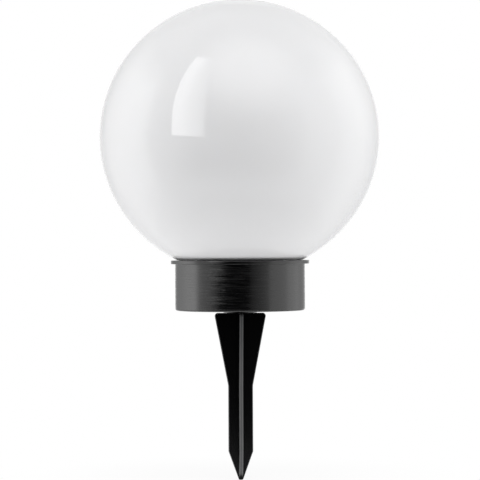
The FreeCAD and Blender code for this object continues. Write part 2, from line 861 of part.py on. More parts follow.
# ---- globe -------------------------------------------------------------------------------------
def globe_shell():
    """The blown ball with its flat shoulder and its neck, in one piece with the ribs of the thread."""
    floor_level = shoulder_level + shoulder_thickness
    inner_width = globe_radius - globe_wall
    inner_height = globe_half_height - globe_wall
    top = globe_centre + globe_half_height
    corners = [
        V(shoulder_radius, 0, shoulder_level),
        V(neck_radius, 0, shoulder_level),
        V(neck_radius, 0, neck_bottom),
        V(neck_bore, 0, neck_bottom),
        V(neck_bore, 0, floor_level),
        V(oval_radius(inner_width, inner_height, floor_level), 0, floor_level),
    ]
    edges = lines(corners)
    edges.append(oval_arc(inner_width, inner_height, floor_level))
    edges.append(line(V(0, 0, top - globe_wall), V(0, 0, top)))
    edges.append(oval_arc(globe_radius, globe_half_height, shoulder_level))
    ball = revolved(Part.__sortEdges__(edges))
    ribs = thread_ribs(neck_radius - thread_root, neck_radius + thread_depth, neck_rib_level)
    return ball.fuse(ribs).removeSplitter()


# ---- everything --------------------------------------------------------------------------------
os.makedirs("parts", exist_ok=True)
export("ground_stake", [ground_stake()])
export("base_housing", [base_housing()])
export("deck_plate", [deck_plate()])
export("deck_screws", deck_screws())
export("neck_seal", [neck_seal()])
export("globe_shell", [globe_shell()])
export("solar_backing", [panel_box(panel_low, solar_cell_low)])
export("solar_cells", solar_cells())
export("solar_window", [solar_window()])
export("led_lenses", [led_lens(x, y) for x, y in led_places()])
export("led_leads", led_leads())
export("circuit_board", [circuit_board()])
export("board_screws", board_screws())
export("driver_chip", [driver_chip()])
export("inductor", [inductor()])
export("capacitor", [capacitor()])
export("battery_can", [battery_can()])
export("battery_sleeve", [battery_sleeve()])
export("battery_contacts", [battery_contact(-1), battery_contact(1)])
export("battery_spring", [battery_spring()])
export("battery_lid", [battery_lid()])
export("switch_case", [switch_case()])
export("switch_knob", [switch_knob()])
export("red_wires", [panel_wire(-1), battery_wire(1)])
export("black_wires", [panel_wire(1), battery_wire(-1)])
export("switch_wires", [switch_wire(-1), switch_wire(1)])
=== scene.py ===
"""Looks of a solar garden globe light: an opal ball on a black base with a cross-finned ground stake.

The ball and the lamps' metal frames are modelled here. Everything else keeps its CAD shape and gets its
finish. Sizes are written in millimetres, and mm() turns them to Blender's metres. Angles are in degrees,
and light levels are shares of white.
"""
import math

import bmesh
import bpy
from mathutils import Matrix, Vector


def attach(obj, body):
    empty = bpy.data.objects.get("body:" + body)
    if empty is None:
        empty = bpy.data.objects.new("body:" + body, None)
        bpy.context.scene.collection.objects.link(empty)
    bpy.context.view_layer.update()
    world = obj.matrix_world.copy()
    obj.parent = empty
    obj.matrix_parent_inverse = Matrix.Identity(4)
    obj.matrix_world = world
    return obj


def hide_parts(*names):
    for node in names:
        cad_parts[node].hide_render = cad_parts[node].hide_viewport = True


# ---- sizes, as the CAD has them ----------------------------------------------------------------
GLOBE_RADIUS = 100.0
GLOBE_HALF_HEIGHT = 98.3
GLOBE_CENTRE = 123.69
GLOBE_WALL = 1.6
SHOULDER_LEVEL = 36.1
SHOULDER_ROUND = 0.35
NECK_RADIUS = 41.8
NECK_FOOT = 26.1
RIB_STARTS = 3
RIB_LEAD = 20.0          # rise in one turn
RIB_SPAN = 50.0          # degrees covered by one rib
RIB_HEIGHT = 1.8
RIB_LEVEL = 28.69        # middle of a rib
RIB_OUTER = 43.6
RIB_ROOT = 0.4           # how far a rib is sunk into the neck
STAKE_DEPTH = 121.3
LAMPS = [(side * 25.48, row) for row in (-4.05, 17.98) for side in (-1, 1)]
LAMP_FOOT = 20.7

# ---- where the finishes' patterns lie on their pieces ------------------------------------------
FIN_RIM = (2.0, 3.2)     # the fins' faces lie nearer to the stake's axis than this, and their rims further
PARTING_LINE = (0.1, 0.3)         # dark within the first of a rim's middle line, gone beyond the second
FINGER_SPACING = 1.8
FINGER_WIDTH = 0.24
BAR_SPACING = 9.108
BAR_WIDTH = 0.9
FIRST_BAR = -5.696
HOLE_SPACING = 5.08
HOLE_SHARE = 0.11        # a hole's radius as a share of the spacing
WINDING_MIDDLE = 14.65
WINDING_HEIGHT = 3.7
WINDING_TURN = 0.4
CAN_BARE_END = 12.55     # the can is bare metal below this
CAN_STRIPE_EDGE = 10.1
BAND_START = 16.0        # white from here to the battery's positive end
BAND_LINE = 15.4
BAND_LINE_WIDTH = 0.7

# ---- the lamps' stamped frames -----------------------------------------------------------------
POSTS = ((-1, 1.1, 3.4), (1, 0.6, 3.1))      # side, width and height
POST_THICKNESS = 0.5
POST_ASIDE = 0.85        # from the lamp's middle
POST_LIFT = 0.3          # above the lamp's foot
POST_ROUND = 0.08
CUP_ASIDE = -0.5
CUP_LIFT = 4.0
CUP_RADII = (0.45, 0.75)
CUP_HEIGHT = 0.7

# ---- how finely the new pieces are meshed ------------------------------------------------------
GLOBE_SEGMENTS = 144
GLOBE_RINGS = 96
RIB_STEPS = 14
CUP_SEGMENTS = 24
SHARP_ANGLE = 35         # an edge that turns by more than this stays sharp

# ---- the photograph's view ---------------------------------------------------------------------
VIEW_TURN = 3.0          # the camera stands this far to the left of straight in front
VIEW_DISTANCE = 1600.0
VIEW_HEIGHT = 50.2
VIEW_ASIDE = 0.09
VIEW_TILT = 0.27         # the photograph is turned by this in its own plane, to the left
VIEW_ANGLE = 12.25
VIEW_REACH = 50000.0     # the camera sees no further than this

MIX_A, MIX_B, MIX_OUT = 6, 7, 2      # a Mix node's colour sockets; its plain numbers are 2, 3 and 0


def mm(length):
    return length / 1000


def scale_for(size):
    """The scale that gives a texture features of this size."""
    return 1000 / size


def linear(code):
    """An sRGB hex colour as linear red, green, blue and alpha."""
    parts = [int(code[i:i + 2], 16) / 255 for i in (1, 3, 5)]
    return [p / 12.92 if p <= 0.04045 else ((p + 0.055) / 1.055) ** 2.4 for p in parts] + [1.0]


def add(tree, kind, values=None, links=None, **settings):
    """One node, with its settings, the values of its sockets and the outputs that feed them."""
    node = tree.nodes.new(kind)
    for name, value in settings.items():
        setattr(node, name, value)
    for socket, value in (values or {}).items():
        node.inputs[socket].default_value = value
    for socket, source in (links or {}).items():
        tree.links.new(source, node.inputs[socket])
    return node


def feed(tree, node, links):
    for socket, source in links.items():
        tree.links.new(source, node.inputs[socket])


# ---- materials ---------------------------------------------------------------------------------
def finish(name, values):
    """A new material, its tree, its shader and the place on the piece that its patterns read."""
    material = bpy.data.materials.new(name)
    material.use_nodes = True
    tree = material.node_tree
    shader = tree.nodes["Principled BSDF"]
    for socket, value in values.items():
        shader.inputs[socket].default_value = value
    place = add(tree, "ShaderNodeTexCoord").outputs["Object"]
    return material, tree, shader, place


def skin(name, tones, cloud, shine, grain, relief, values=None):
    """A surface with two tones and two roughnesses in clouds, and a grain that stands up by relief."""
    material, tree, shader, place = finish(name, values or {})
    clouds = add(tree, "ShaderNodeTexNoise", {"Scale": scale_for(cloud), "Detail": 3.0}, {"Vector": place})
    tone = add(tree, "ShaderNodeMix", {MIX_A: linear(tones[0]), MIX_B: linear(tones[1])},
               {0: clouds.outputs["Fac"]}, data_type="RGBA")
    rough = add(tree, "ShaderNodeMapRange", {"To Min": shine[0], "To Max": shine[1]},
                {"Value": clouds.outputs["Fac"]})
    grains = add(tree, "ShaderNodeTexNoise", {"Scale": scale_for(grain), "Detail": 2.0}, {"Vector": place})
    bump = add(tree, "ShaderNodeBump", {"Distance": mm(relief)}, {"Height": grains.outputs["Fac"]})
    feed(tree, shader, {
        "Base Color": tone.outputs[MIX_OUT],
        "Roughness": rough.outputs[0],
        "Normal": bump.outputs[0],
    })
    return material


def opal_acrylic():
    """Opal acrylic, blow-moulded: milky all through under a mirror-smooth skin, so shading is soft and
    highlights are sharp, with slow clouds and a barely wavy wall where the blown bubble is thinner."""
    values = {
        "IOR": 1.49,
        "Subsurface Weight": 0.25,
        "Subsurface Radius": (1.0, 0.97, 0.92),
        "Subsurface Scale": mm(3),
    }
    return skin("opal acrylic, blow-moulded", ("#F2F2F3", "#ECECED"), 60, (0.015, 0.03), 45, 0.01, values)


def black_abs():
    """Black ABS, injection-moulded and satin: its flow leaves fine level streaks round the wall, which
    the reflections show as thin lines. The real streaks are under 0.1 mm, so these are drawn coarser."""
    values = {"IOR": 1.54, "Specular IOR Level": 0.7}
    material, tree, shader, place = finish("black ABS, injection-moulded", values)
    flat = add(tree, "ShaderNodeMapping", {"Scale": (0.03, 0.03, 1.0)}, {"Vector": place})
    streaks = add(tree, "ShaderNodeTexNoise", {"Scale": scale_for(0.5), "Detail": 2.0},
                  {"Vector": flat.outputs[0]})
    clouds = add(tree, "ShaderNodeTexNoise", {"Scale": scale_for(22), "Detail": 3.0}, {"Vector": place})
    tone = add(tree, "ShaderNodeMix", {MIX_A: linear("#030304"), MIX_B: linear("#070708")},
               {0: streaks.outputs["Fac"]}, data_type="RGBA")
    both = add(tree, "ShaderNodeMix", {0: 0.25}, {2: streaks.outputs["Fac"], 3: clouds.outputs["Fac"]})
    rough = add(tree, "ShaderNodeMapRange", {
        "From Min": 0.38, "From Max": 0.62, "To Min": 0.08, "To Max": 0.28,
    }, {"Value": both.outputs[0]})
    bump = add(tree, "ShaderNodeBump", {"Distance": mm(0.008)}, {"Height": streaks.outputs["Fac"]})
    feed(tree, shader, {
        "Base Color": tone.outputs[MIX_OUT],
        "Roughness": rough.outputs[0],
        "Normal": bump.outputs[0],
    })
    return material


def black_polypropylene():
    """Black polypropylene, moulded in a spark-eroded tool: dull black faces with a fine grain. The fins'
    rims are rougher and painted grey, partly rubbed wear and partly painted sheen for the light that the
    matt, rounded rims catch, with the dark parting line along them."""
    values = {"IOR": 1.49, "Specular IOR Level": 0.15}
    material, tree, shader, place = finish("black polypropylene, moulded", values)
    normal = add(tree, "ShaderNodeTexCoord").outputs["Normal"]
    level = add(tree, "ShaderNodeVectorMath", {1: (1.0, 1.0, 0.0)}, {0: place}, operation="MULTIPLY")
    outward = add(tree, "ShaderNodeVectorMath", links={0: level.outputs[0], 1: normal},
                  operation="DOT_PRODUCT")
    rim = add(tree, "ShaderNodeMapRange", {"From Min": mm(FIN_RIM[0]), "From Max": mm(FIN_RIM[1])},
              {"Value": outward.outputs["Value"]}, interpolation_type="SMOOTHSTEP")
    size = add(tree, "ShaderNodeVectorMath", links={0: place}, operation="ABSOLUTE")
    axes = add(tree, "ShaderNodeSeparateXYZ", links={0: size.outputs[0]})
    aside = add(tree, "ShaderNodeMath", links={0: axes.outputs[0], 1: axes.outputs[1]}, operation="MINIMUM")
    seam = add(tree, "ShaderNodeMapRange", {
        "From Min": mm(PARTING_LINE[0]), "From Max": mm(PARTING_LINE[1]),
    }, {"Value": aside.outputs[0]}, interpolation_type="SMOOTHSTEP")
    grain = add(tree, "ShaderNodeTexNoise", {"Scale": scale_for(0.5), "Detail": 2.0}, {"Vector": place})
    rub = add(tree, "ShaderNodeTexNoise", {"Scale": scale_for(9), "Detail": 4.0}, {"Vector": place})
    face = add(tree, "ShaderNodeMix", {MIX_A: linear("#030304"), MIX_B: linear("#080809")},
               {0: grain.outputs["Fac"]}, data_type="RGBA")
    # painted sheen: this grey stands partly for rubbed wear and partly for the light that the matt, rounded
    # rims catch
    wear_and_sheen = add(tree, "ShaderNodeMix", {MIX_A: linear("#505051"), MIX_B: linear("#606060")},
               {0: rub.outputs["Fac"]}, data_type="RGBA")
    parted = add(tree, "ShaderNodeMix", {MIX_A: linear("#424243")},
                 {0: seam.outputs[0], MIX_B: wear_and_sheen.outputs[MIX_OUT]}, data_type="RGBA")
    tone = add(tree, "ShaderNodeMix", links={
        0: rim.outputs[0], MIX_A: face.outputs[MIX_OUT], MIX_B: parted.outputs[MIX_OUT]}, data_type="RGBA")
    rough = add(tree, "ShaderNodeMapRange", {"To Min": 0.22, "To Max": 0.55}, {"Value": rim.outputs[0]})
    bump = add(tree, "ShaderNodeBump", {"Distance": mm(0.004)}, {"Height": grain.outputs["Fac"]})
    feed(tree, shader, {
        "Base Color": tone.outputs[MIX_OUT],
        "Roughness": rough.outputs[0],
        "Normal": bump.outputs[0],
    })
    return material


def silicon_cells():
    """Multicrystalline silicon, etched and coated: blue crystals a few millimetres across under silver
    fingers and one wider bar along each strip, screen-printed. The fingers are drawn twice as wide."""
    material, tree, shader, place = finish("silicon cells, etched and printed", {"IOR": 1.5})
    crystals = add(tree, "ShaderNodeTexVoronoi", {"Scale": scale_for(2.6)}, {"Vector": place})
    shade = add(tree, "ShaderNodeSeparateColor", links={0: crystals.outputs["Color"]})
    blue = add(tree, "ShaderNodeMix", {MIX_A: linear("#1A2C5E"), MIX_B: linear("#37559C")},
               {0: shade.outputs[0]}, data_type="RGBA")
    axes = add(tree, "ShaderNodeSeparateXYZ", links={0: place})
    finger = add(tree, "ShaderNodeMath", {1: mm(FINGER_SPACING / 2)}, {0: axes.outputs[0]},
                 operation="PINGPONG")
    from_first = add(tree, "ShaderNodeMath", {1: mm(-FIRST_BAR)}, {0: axes.outputs[1]})
    bar = add(tree, "ShaderNodeMath", {1: mm(BAR_SPACING / 2)}, {0: from_first.outputs[0]},
              operation="PINGPONG")
    is_finger = add(tree, "ShaderNodeMath", {1: mm(FINGER_WIDTH / 2)}, {0: finger.outputs[0]},
                    operation="LESS_THAN")
    is_bar = add(tree, "ShaderNodeMath", {1: mm(BAR_WIDTH / 2)}, {0: bar.outputs[0]},
                 operation="LESS_THAN")
    silver = add(tree, "ShaderNodeMath", links={0: is_finger.outputs[0], 1: is_bar.outputs[0]},
                 operation="MAXIMUM")
    tone = add(tree, "ShaderNodeMix", {MIX_B: linear("#B9BCC0")},
               {0: silver.outputs[0], MIX_A: blue.outputs[MIX_OUT]}, data_type="RGBA")
    rough = add(tree, "ShaderNodeMapRange", {"To Min": 0.25, "To Max": 0.45}, {"Value": silver.outputs[0]})
    feed(tree, shader, {
        "Base Color": tone.outputs[MIX_OUT],
        "Metallic": silver.outputs[0],
        "Roughness": rough.outputs[0],
    })
    return material


def circuit_laminate():
    """Glass-fibre laminate, etched and coated with green solder mask: a half-gloss skin with the copper
    tracks showing paler under it and tinned holes on a 5.08 mm grid."""
    material, tree, shader, place = finish("glass-fibre laminate, solder-masked", {"IOR": 1.5})
    tracks = add(tree, "ShaderNodeTexBrick", {
        "Color1": linear("#0E4A26"), "Color2": linear("#11522B"), "Mortar": linear("#1D7040"),
        "Scale": scale_for(10), "Mortar Size": 0.03, "Brick Width": 0.9, "Row Height": 0.34,
    }, {"Vector": place})
    dots = add(tree, "ShaderNodeTexVoronoi", {"Scale": scale_for(HOLE_SPACING), "Randomness": 0.0},
               {"Vector": place}, voronoi_dimensions="2D")
    hole = add(tree, "ShaderNodeMath", {1: HOLE_SHARE}, {0: dots.outputs["Distance"]},
               operation="LESS_THAN")
    tone = add(tree, "ShaderNodeMix", {MIX_B: linear("#C4C2BA")},
               {0: hole.outputs[0], MIX_A: tracks.outputs["Color"]}, data_type="RGBA")
    rough = add(tree, "ShaderNodeMapRange", {"To Min": 0.3, "To Max": 0.4}, {"Value": hole.outputs[0]})
    bump = add(tree, "ShaderNodeBump", {"Distance": mm(0.03)}, {"Height": tracks.outputs["Fac"]})
    feed(tree, shader, {
        "Base Color": tone.outputs[MIX_OUT],
        "Metallic": hole.outputs[0],
        "Roughness": rough.outputs[0],
        "Normal": bump.outputs[0],
    })
    return material


def wound_ferrite():
    """Ferrite, sintered, wound with enamelled copper: dull dark grey end discs and shiny brown turns
    between them. Real turns are 0.2 mm apart, and these are 0.4 mm so that they can be seen."""
    material, tree, shader, place = finish("ferrite, sintered, with enamelled copper", {"IOR": 1.5})
    axes = add(tree, "ShaderNodeSeparateXYZ", links={0: place})
    middle = add(tree, "ShaderNodeMath", {1: mm(WINDING_MIDDLE)}, {0: axes.outputs[2]},
                 operation="SUBTRACT")
    away = add(tree, "ShaderNodeMath", links={0: middle.outputs[0]}, operation="ABSOLUTE")
    copper = add(tree, "ShaderNodeMath", {1: mm(WINDING_HEIGHT / 2)}, {0: away.outputs[0]},
                 operation="LESS_THAN")
    turns = add(tree, "ShaderNodeMath", {1: mm(WINDING_TURN / 2)}, {0: axes.outputs[2]},
                operation="PINGPONG")
    speckle = add(tree, "ShaderNodeTexNoise", {"Scale": scale_for(0.4)}, {"Vector": place})
    core = add(tree, "ShaderNodeMix", {MIX_A: linear("#2E2C2C"), MIX_B: linear("#3D3A39")},
               {0: speckle.outputs["Fac"]}, data_type="RGBA")
    tone = add(tree, "ShaderNodeMix", {MIX_B: linear("#8E4A22")},
               {0: copper.outputs[0], MIX_A: core.outputs[MIX_OUT]}, data_type="RGBA")
    rough = add(tree, "ShaderNodeMapRange", {"To Min": 0.7, "To Max": 0.25}, {"Value": copper.outputs[0]})
    wound = add(tree, "ShaderNodeMath", links={0: turns.outputs[0], 1: copper.outputs[0]},
                operation="MULTIPLY")
    bump = add(tree, "ShaderNodeBump", {"Distance": 1.0}, {"Height": wound.outputs[0]})
    feed(tree, shader, {
        "Base Color": tone.outputs[MIX_OUT],
        "Metallic": copper.outputs[0],
        "Roughness": rough.outputs[0],
        "Normal": bump.outputs[0],
    })
    return material


def sleeved_can():
    """Aluminium can, drawn, in a shrunk blue sleeve: a bare metal end with fine drawing marks, and a pale
    stripe down one side of the sleeve that marks the negative lead."""
    material, tree, shader, place = finish("aluminium can, drawn and sleeved", {})
    axes = add(tree, "ShaderNodeSeparateXYZ", links={0: place})
    bare = add(tree, "ShaderNodeMath", {1: mm(CAN_BARE_END)}, {0: axes.outputs[2]},
               operation="LESS_THAN")
    stripe = add(tree, "ShaderNodeMath", {1: mm(CAN_STRIPE_EDGE)}, {0: axes.outputs[1]},
                 operation="LESS_THAN")
    marks = add(tree, "ShaderNodeTexNoise", {"Scale": scale_for(0.6)}, {"Vector": place})
    blue = add(tree, "ShaderNodeMix", {MIX_A: linear("#1B2E7A"), MIX_B: linear("#213792")},
               {0: marks.outputs["Fac"]}, data_type="RGBA")
    sleeve = add(tree, "ShaderNodeMix", {MIX_B: linear("#C9CEDA")},
                 {0: stripe.outputs[0], MIX_A: blue.outputs[MIX_OUT]}, data_type="RGBA")
    tone = add(tree, "ShaderNodeMix", {MIX_B: linear("#C8CACC")},
               {0: bare.outputs[0], MIX_A: sleeve.outputs[MIX_OUT]}, data_type="RGBA")
    rough = add(tree, "ShaderNodeMapRange", {"To Min": 0.22, "To Max": 0.38},
                {"Value": marks.outputs["Fac"]})
    feed(tree, shader, {
        "Base Color": tone.outputs[MIX_OUT],
        "Metallic": bare.outputs[0],
        "Roughness": rough.outputs[0],
    })
    return material


def banded_sleeve():
    """PVC sleeve, printed and shrunk on: glossy green with a plain white band at the positive end and a
    thin black line beside it, with no lettering, and a faint ripple where it shrank."""
    material, tree, shader, place = finish("PVC sleeve, printed and shrunk", {"IOR": 1.53})
    axes = add(tree, "ShaderNodeSeparateXYZ", links={0: place})
    ripple = add(tree, "ShaderNodeTexNoise", {"Scale": scale_for(3)}, {"Vector": place})
    green = add(tree, "ShaderNodeMix", {MIX_A: linear("#2A7A48"), MIX_B: linear("#308551")},
                {0: ripple.outputs["Fac"]}, data_type="RGBA")
    white = add(tree, "ShaderNodeMath", {1: mm(BAND_START)}, {0: axes.outputs[0]},
                operation="GREATER_THAN")
    banded = add(tree, "ShaderNodeMix", {MIX_B: linear("#E9E9E6")},
                 {0: white.outputs[0], MIX_A: green.outputs[MIX_OUT]}, data_type="RGBA")
    edge = add(tree, "ShaderNodeMath", {1: mm(BAND_LINE), 2: mm(BAND_LINE_WIDTH / 2)},
               {0: axes.outputs[0]}, operation="COMPARE")
    tone = add(tree, "ShaderNodeMix", {MIX_B: linear("#151515")},
               {0: edge.outputs[0], MIX_A: banded.outputs[MIX_OUT]}, data_type="RGBA")
    rough = add(tree, "ShaderNodeMapRange", {"To Min": 0.15, "To Max": 0.28},
                {"Value": ripple.outputs["Fac"]})
    bump = add(tree, "ShaderNodeBump", {"Distance": mm(0.02)}, {"Height": ripple.outputs["Fac"]})
    feed(tree, shader, {
        "Base Color": tone.outputs[MIX_OUT],
        "Roughness": rough.outputs[0],
        "Normal": bump.outputs[0],
    })
    return material


def clear_resin(name, tint, ior, wave):
    """A clear cast resin: it bends light like glass under a slightly wavy skin."""
    values = {"Base Color": linear(tint), "IOR": ior, "Roughness": 0.03, "Transmission Weight": 1.0}
    material, tree, shader, place = finish(name, values)
    waves = add(tree, "ShaderNodeTexNoise", {"Scale": scale_for(wave)}, {"Vector": place})
    bump = add(tree, "ShaderNodeBump", {"Distance": mm(0.01)}, {"Height": waves.outputs["Fac"]})
    feed(tree, shader, {"Normal": bump.outputs[0]})
    return material


def dress(frame):
    """Each CAD node that stays in sight gets the finish of the real piece. A skin's numbers are its cloud
    size, its two roughnesses, its grain size and the grain's relief. It gives back the tin for the lamps'
    frames."""
    metal = {"Metallic": 1.0}
    plastic = {"IOR": 1.54}
    soft = {"IOR": 1.5}
    # ABS, injection-moulded: clean white with a fine tool grain, half matt.
    white_abs = skin("white ABS, injection-moulded", ("#E6E6E2", "#DDDDD8"), 30, (0.38, 0.5), 0.7, 0.02,
                     plastic)
    # Polyester film, laminated: flat white with a slight sheen behind the cells.
    film = skin("white polyester film, laminated", ("#DDDDD9", "#D4D4D0"), 12, (0.3, 0.42), 1.5, 0.01,
                soft)
    # Zinc, electroplated on steel and passivated: bright bluish grey with cloudy patches.
    zinc = skin("zinc, electroplated", ("#B4B8BE", "#C6CACF"), 1.5, (0.22, 0.38), 0.3, 0.01, metal)
    # EPDM rubber, die-cut: dull black with a faint dusty bloom.
    rubber = skin("EPDM rubber, die-cut", ("#151515", "#232323"), 5, (0.7, 0.9), 0.4, 0.05, soft)
    # Tin, hot-dipped on copper: soft silver, slightly lumpy.
    tin = skin("tin, hot-dipped", ("#C2C1BC", "#D2D1CC"), 1.0, (0.25, 0.42), 0.5, 0.03, metal)
    # Nickel, electroplated on spring steel: warm bright grey with drawing marks.
    nickel = skin("nickel, electroplated", ("#B5B2AC", "#C9C6C0"), 2.0, (0.16, 0.3), 0.25, 0.008, metal)
    # Epoxy, transfer-moulded: matt charcoal with a sandy grain.
    epoxy = skin("black epoxy, transfer-moulded", ("#161617", "#202021"), 1.5, (0.6, 0.75), 0.2, 0.02,
                 soft)
    # PBT, injection-moulded: black, a little glossier than the knob.
    pbt = skin("black PBT, injection-moulded", ("#121213", "#1B1B1C"), 4, (0.4, 0.52), 0.4, 0.02,
               plastic)
    # Acetal, injection-moulded: black with a waxy half-gloss on the thumb ridges.
    acetal = skin("black acetal, injection-moulded", ("#141415", "#222223"), 2, (0.3, 0.45), 0.3, 0.015,
                  plastic)
    # PVC, extruded over stranded copper: satin colour with long faint ridges from the strands.
    red = skin("red PVC, extruded", ("#A5201A", "#B82A22"), 2, (0.32, 0.45), 0.5, 0.03, soft)
    black = skin("black PVC, extruded", ("#121212", "#1E1E1E"), 2, (0.32, 0.45), 0.5, 0.03, soft)
    yellow = skin("yellow PVC, extruded", ("#C9A227", "#D8B338"), 2, (0.32, 0.45), 0.5, 0.03, soft)
    finishes = {
        "ground_stake": black_polypropylene(),
        "base_housing": black_abs(),
        "deck_plate": white_abs,
        "battery_lid": white_abs,
        "deck_screws": zinc,
        "board_screws": zinc,
        "neck_seal": rubber,
        "solar_backing": film,
        "solar_cells": silicon_cells(),
        "solar_window": clear_resin("polyester resin, cast", "#EEF4F8", 1.5, 8),
        "led_lenses": clear_resin("clear epoxy, cast", "#F4F4F2", 1.54, 3),
        "led_leads": tin,
        "circuit_board": circuit_laminate(),
        "driver_chip": epoxy,
        "inductor": wound_ferrite(),
        "capacitor": sleeved_can(),
        "battery_can": nickel,
        "battery_contacts": nickel,
        "battery_spring": nickel,
        "battery_sleeve": banded_sleeve(),
        "switch_case": pbt,
        "switch_knob": acetal,
        "red_wires": red,
        "black_wires": black,
        "switch_wires": yellow,
    }
    for node, material in finishes.items():
        mesh = frame["nodes"][node].data
        mesh.materials.clear()
        mesh.materials.append(material)
    return tin


# ---- pieces ------------------------------------------------------------------------------------
def make_piece(bm, name, body, slot, material, *nodes):
    """Turns a bmesh into a piece on a body: smooth, with its corners kept sharp."""
    bm.normal_update()
    for face in bm.faces:
        face.smooth = True
    for edge in bm.edges:
        if len(edge.link_faces) == 2 and edge.calc_face_angle() > math.radians(SHARP_ANGLE):
            edge.smooth = False
    mesh = bpy.data.meshes.new(name)
    bm.to_mesh(mesh)
    bm.free()
    mesh.materials.append(material)
    piece = bpy.data.objects.new(name, mesh)
    bpy.context.scene.collection.objects.link(piece)
    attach(piece, body)
    if nodes:
        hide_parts(*nodes)
    return piece


def draw_in(bm, rim, radius, level):
    """Pulls the open rim out to a new radius and level, and gives the new rim."""
    grown = bmesh.ops.extrude_edge_only(bm, edges=rim)["geom"]
    verts = [g for g in grown if isinstance(g, bmesh.types.BMVert)]
    start = verts[0].co.copy()
    wider = mm(radius) / start.xy.length
    bmesh.ops.scale(bm, vec=(wider, wider, 1), verts=verts)
    bmesh.ops.translate(bm, vec=(0, 0, mm(level) - start.z), verts=verts)
    return [g for g in grown if isinstance(g, bmesh.types.BMEdge) and g.is_boundary]


def blown_wall(bm):
    """The oval bubble, cut flat at its shoulder, drawn in and down to the neck, and given its wall."""
    bmesh.ops.create_uvsphere(bm, u_segments=GLOBE_SEGMENTS, v_segments=GLOBE_RINGS,
                              radius=mm(GLOBE_RADIUS))
    bmesh.ops.scale(bm, vec=(1, 1, GLOBE_HALF_HEIGHT / GLOBE_RADIUS), verts=bm.verts)
    bmesh.ops.translate(bm, vec=(0, 0, mm(GLOBE_CENTRE)), verts=bm.verts)
    shoulder = (0, 0, mm(SHOULDER_LEVEL))
    bmesh.ops.bisect_plane(bm, geom=bm.verts[:] + bm.edges[:] + bm.faces[:], plane_co=shoulder,
                           plane_no=(0, 0, -1), clear_outer=True)
    corner = [e for e in bm.edges if e.is_boundary]
    inner = draw_in(bm, corner, NECK_RADIUS, SHOULDER_LEVEL)
    draw_in(bm, inner, NECK_RADIUS, NECK_FOOT)
    bmesh.ops.bevel(bm, geom=corner, offset=mm(SHOULDER_ROUND), segments=3, profile=0.5, affect="EDGES",
                    material=-1)
    bmesh.ops.recalc_face_normals(bm, faces=bm.faces)
    bmesh.ops.solidify(bm, geom=bm.faces[:], thickness=mm(GLOBE_WALL))


def neck_rib(bm, middle):
    """One short helical rib of the neck's thread, centred on an angle."""
    rise = RIB_LEAD * RIB_SPAN / 360
    low = RIB_LEVEL - (rise + RIB_HEIGHT) / 2
    inner = NECK_RADIUS - RIB_ROOT
    turn = Matrix.Rotation(math.radians(middle - RIB_SPAN / 2), 3, "Z")
    corners = [(inner, low), (RIB_OUTER, low), (RIB_OUTER, low + RIB_HEIGHT), (inner, low + RIB_HEIGHT)]
    end = bm.faces.new([bm.verts.new(turn @ Vector((mm(r), 0, mm(z)))) for r, z in corners])
    bmesh.ops.spin(bm, geom=end.verts[:] + end.edges[:] + [end], axis=(0, 0, 1), cent=(0, 0, 0),
                   dvec=(0, 0, mm(rise / RIB_STEPS)), angle=math.radians(RIB_SPAN), steps=RIB_STEPS)


def opal_globe():
    """The ball with its shoulder, neck and thread, which stands in for the CAD's shell."""
    bm = bmesh.new()
    blown_wall(bm)
    wall = set(bm.faces)
    for start in range(RIB_STARTS):
        neck_rib(bm, start * 360 / RIB_STARTS)
    bmesh.ops.recalc_face_normals(bm, faces=[f for f in bm.faces if f not in wall])
    make_piece(bm, "opal_globe", "globe", "opal_white", opal_acrylic(), "globe_shell")


def lamp_frames(material):
    """The stamped metal inside each lamp: a broad post that ends in a cup, and a thin one beside it."""
    bm = bmesh.new()
    for x, y in LAMPS:
        for side, width, height in POSTS:
            post = bmesh.ops.create_cube(bm, size=mm(1))["verts"]
            bmesh.ops.scale(bm, vec=(width, POST_THICKNESS, height), verts=post)
            place = (mm(x + side * POST_ASIDE), mm(y), mm(LAMP_FOOT + POST_LIFT + height / 2))
            bmesh.ops.translate(bm, vec=place, verts=post)
            edges = list({e for v in post for e in v.link_edges})
            bmesh.ops.bevel(bm, geom=edges, offset=mm(POST_ROUND), segments=2, profile=0.5,
                            affect="EDGES", material=-1)
        cup = Matrix.Translation((mm(x + CUP_ASIDE), mm(y), mm(LAMP_FOOT + CUP_LIFT)))
        bmesh.ops.create_cone(bm, cap_ends=True, segments=CUP_SEGMENTS, radius1=mm(CUP_RADII[0]),
                              radius2=mm(CUP_RADII[1]), depth=mm(CUP_HEIGHT), matrix=cup)
    bmesh.ops.recalc_face_normals(bm, faces=bm.faces)
    make_piece(bm, "lamp_frames", "base", "tinned", material)


# ---- studio ------------------------------------------------------------------------------------
# How bright the studio is at eye level, by the angle from the camera's side, to the right above zero.
# Two tall soft panels stand left and right, and the camera's own side is dark.
STUDIO = [
    (-180, 0.8), (-166, 0.7), (-148, 0.55), (-126, 1.1), (-106, 1.9), (-87, 2.4), (-76, 1.05), (-56, 0.77),
    (-35, 0.01), (15, 0.01), (20, 0.15), (39, 0.4), (51, 0.62), (55, 1.05), (88, 1.2), (95, 1.5),
    (120, 1.3), (132, 0.85), (149, 0.6), (180, 0.8),
]
STUDIO_PEAK = 2.5        # the level that the ring's whitest stop would stand for
CEILING = 0.42           # level straight up
CEILING_EDGE = (0.45, 0.75)       # how far up it takes over from the sides, as a share of straight up
TABLE = 1.1              # level straight down
TABLE_EDGE = (-0.4, -0.7)
TOP_PANEL = 2.05         # a round soft panel above the front, which the black base doesn't mirror
TOP_PANEL_PLACE = (10, 52)        # to the right, and up
TOP_PANEL_SPREAD = (12, 50)       # full within the first angle, gone beyond the second
BACKDROP_EDGE = (0.93, 0.98)      # mirrors see plain white straight behind the light
PANE_LEVEL = 5.0         # the tall pane's level at its low left corner
PANE_TOP_SHARE = 0.72
PANE_RIGHT_SHARE = 0.42
PANE_PLAIN_WIDTH = 0.35  # it starts to fall off this far across
